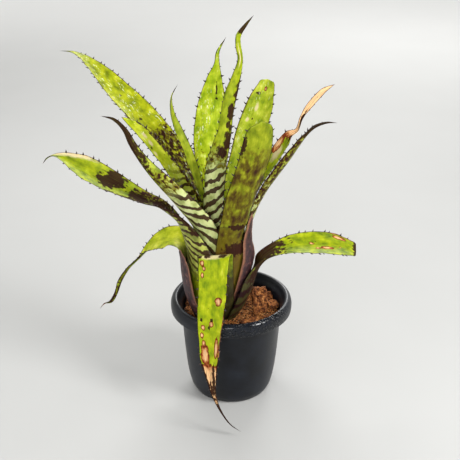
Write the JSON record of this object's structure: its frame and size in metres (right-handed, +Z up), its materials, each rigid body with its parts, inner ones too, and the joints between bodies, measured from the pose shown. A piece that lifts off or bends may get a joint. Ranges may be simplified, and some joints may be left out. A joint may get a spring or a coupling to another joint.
{
  "type": "potted bromeliad plant",
  "caption": "Tank bromeliad with banded, spine-edged strap leaves, one folded over the rim and drying at its tip, in a round black nursery pot filled with coconut husk chips.",
  "frame": {"origin": "on the floor under the centre of the pot, at the middle of the pad under its base", "axes": "+Z up along the pot and the rosette; -Y towards the leaf folded over the front of the rim; +X to the right seen from that side"},
  "size_m": [0.3247, 0.251, 0.411],
  "materials": {
    "pot": "satin black injection-moulded plastic, wet and glossy in patches on the rim",
    "growing_medium": "damp shredded coconut husk and fibre, matt",
    "husk_chip": "torn coconut husk, matt, fibrous orange-brown",
    "stem_base": "short woody stem, matt brown",
    "dead_sheath": "papery dead leaf sheath, dark purple-brown, satin",
    "leaf_front_folded": "waxy living leaf, mottled and cross-banded, satin with wet gloss",
    "leaf_right_blunt": "waxy living leaf, mottled and cross-banded, satin with wet gloss",
    "leaf_left_drooping": "waxy living leaf, mottled and cross-banded, satin with wet gloss",
    "leaf_left_blotched": "waxy living leaf, mottled and cross-banded, satin with wet gloss",
    "leaf_front_banded": "waxy living leaf, mottled and cross-banded, satin with wet gloss",
    "leaf_left_dark_tip": "waxy living leaf, mottled and cross-banded, satin with wet gloss",
    "leaf_right_dark_tip": "waxy living leaf, mottled and cross-banded, satin with wet gloss",
    "leaf_upper_left": "waxy living leaf, mottled and cross-banded, satin with wet gloss",
    "leaf_right_dry_tip": "waxy living leaf, mottled and cross-banded, satin with wet gloss",
    "leaf_left_bright": "waxy living leaf, mottled and cross-banded, satin with wet gloss",
    "leaf_right_tall": "waxy living leaf, mottled and cross-banded, satin with wet gloss",
    "leaf_twisted": "waxy living leaf, mottled and cross-banded, satin with wet gloss",
    "leaf_left_slender": "waxy living leaf, mottled and cross-banded, satin with wet gloss",
    "leaf_centre_tall": "waxy living leaf, mottled and cross-banded, satin with wet gloss"
  },
  "bodies": {
    "root": {"pot": "pot", "growing_medium": "growing_medium", "stem_base": "stem_base", "husk_chip_upright": "husk_chip", "husk_chip_right_1": "husk_chip", "husk_chip_right_2": "husk_chip", "husk_chip_right_3": "husk_chip", "husk_chip_right_4": "husk_chip", "husk_chip_front": "husk_chip", "husk_chip_back_1": "husk_chip", "husk_chip_back_2": "husk_chip", "husk_chip_left": "husk_chip", "leaf_front_folded": "leaf_front_folded", "leaf_right_blunt": "leaf_right_blunt", "leaf_left_drooping": "leaf_left_drooping", "leaf_left_blotched": "leaf_left_blotched", "leaf_front_banded": "leaf_front_banded", "leaf_left_dark_tip": "leaf_left_dark_tip", "leaf_right_dark_tip": "leaf_right_dark_tip", "leaf_upper_left": "leaf_upper_left", "leaf_right_dry_tip": "leaf_right_dry_tip", "leaf_left_bright": "leaf_left_bright", "leaf_right_tall": "leaf_right_tall", "leaf_twisted": "leaf_twisted", "leaf_left_slender": "leaf_left_slender", "leaf_centre_tall": "leaf_centre_tall", "sheath_left_dead": "dead_sheath", "sheath_right_dead": "dead_sheath", "sheath_back_dead": "dead_sheath"}
  },
  "joints": []
}
